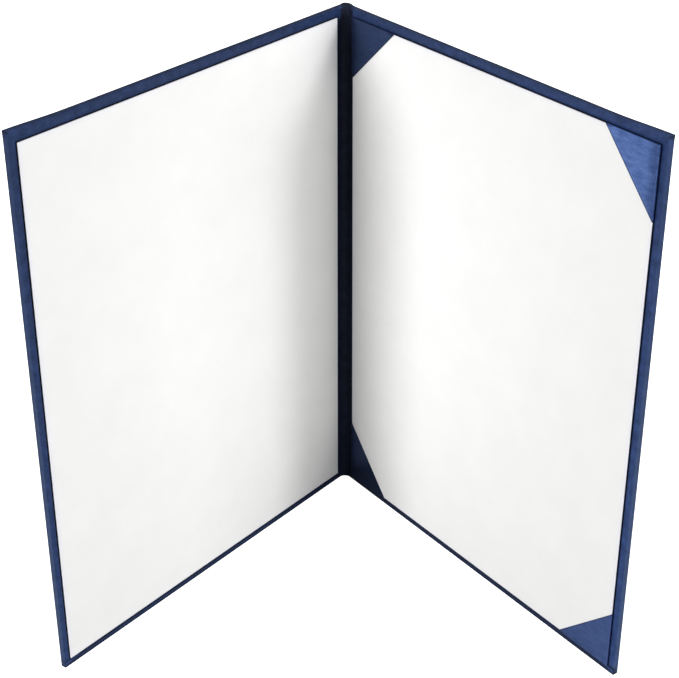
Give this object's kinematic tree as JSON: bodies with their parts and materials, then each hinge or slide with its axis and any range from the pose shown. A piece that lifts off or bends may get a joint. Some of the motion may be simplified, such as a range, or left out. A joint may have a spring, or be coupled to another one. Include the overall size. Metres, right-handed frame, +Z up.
{
  "type": "diploma cover",
  "caption": "Folding certificate cover in navy leatherette, with white lined insides and satin corner pockets, standing half open on its edges.",
  "frame": {"origin": "under the middle of the standing cover's box, on the surface it stands on", "axes": "+Z up along the spine; the covers open symmetrically towards -Y; +X towards the back cover with the corner pockets"},
  "size_m": [0.284, 0.1834, 0.2926],
  "materials": {
    "navy_leatherette": "fine-grained leatherette, low sheen",
    "white_lining": "smooth matt white lined card",
    "blue_satin": "satin",
    "grey_board": "raw grey board"
  },
  "bodies": {
    "back_cover": {"back_board": "grey_board", "back_cover_wrap": "navy_leatherette", "document_panel": "white_lining", "corner_ribbon_top_spine": "blue_satin", "corner_ribbon_top_outer": "blue_satin", "corner_ribbon_bottom_outer": "blue_satin", "corner_ribbon_bottom_spine": "blue_satin", "spine_wrap": "navy_leatherette", "spine_liner": "navy_leatherette"},
    "front_cover": {"front_board": "grey_board", "front_cover_wrap": "navy_leatherette", "front_lining": "white_lining"}
  },
  "joints": [
    {"name": "cover_hinge", "type": "hinge", "parent": "back_cover", "child": "front_cover", "pos_m": [0, 0.0861, 0], "axis": [0, 0, 1], "range_deg": [-104.5, 75.5], "deforming": ["spine_wrap", "spine_liner"]}
  ]
}
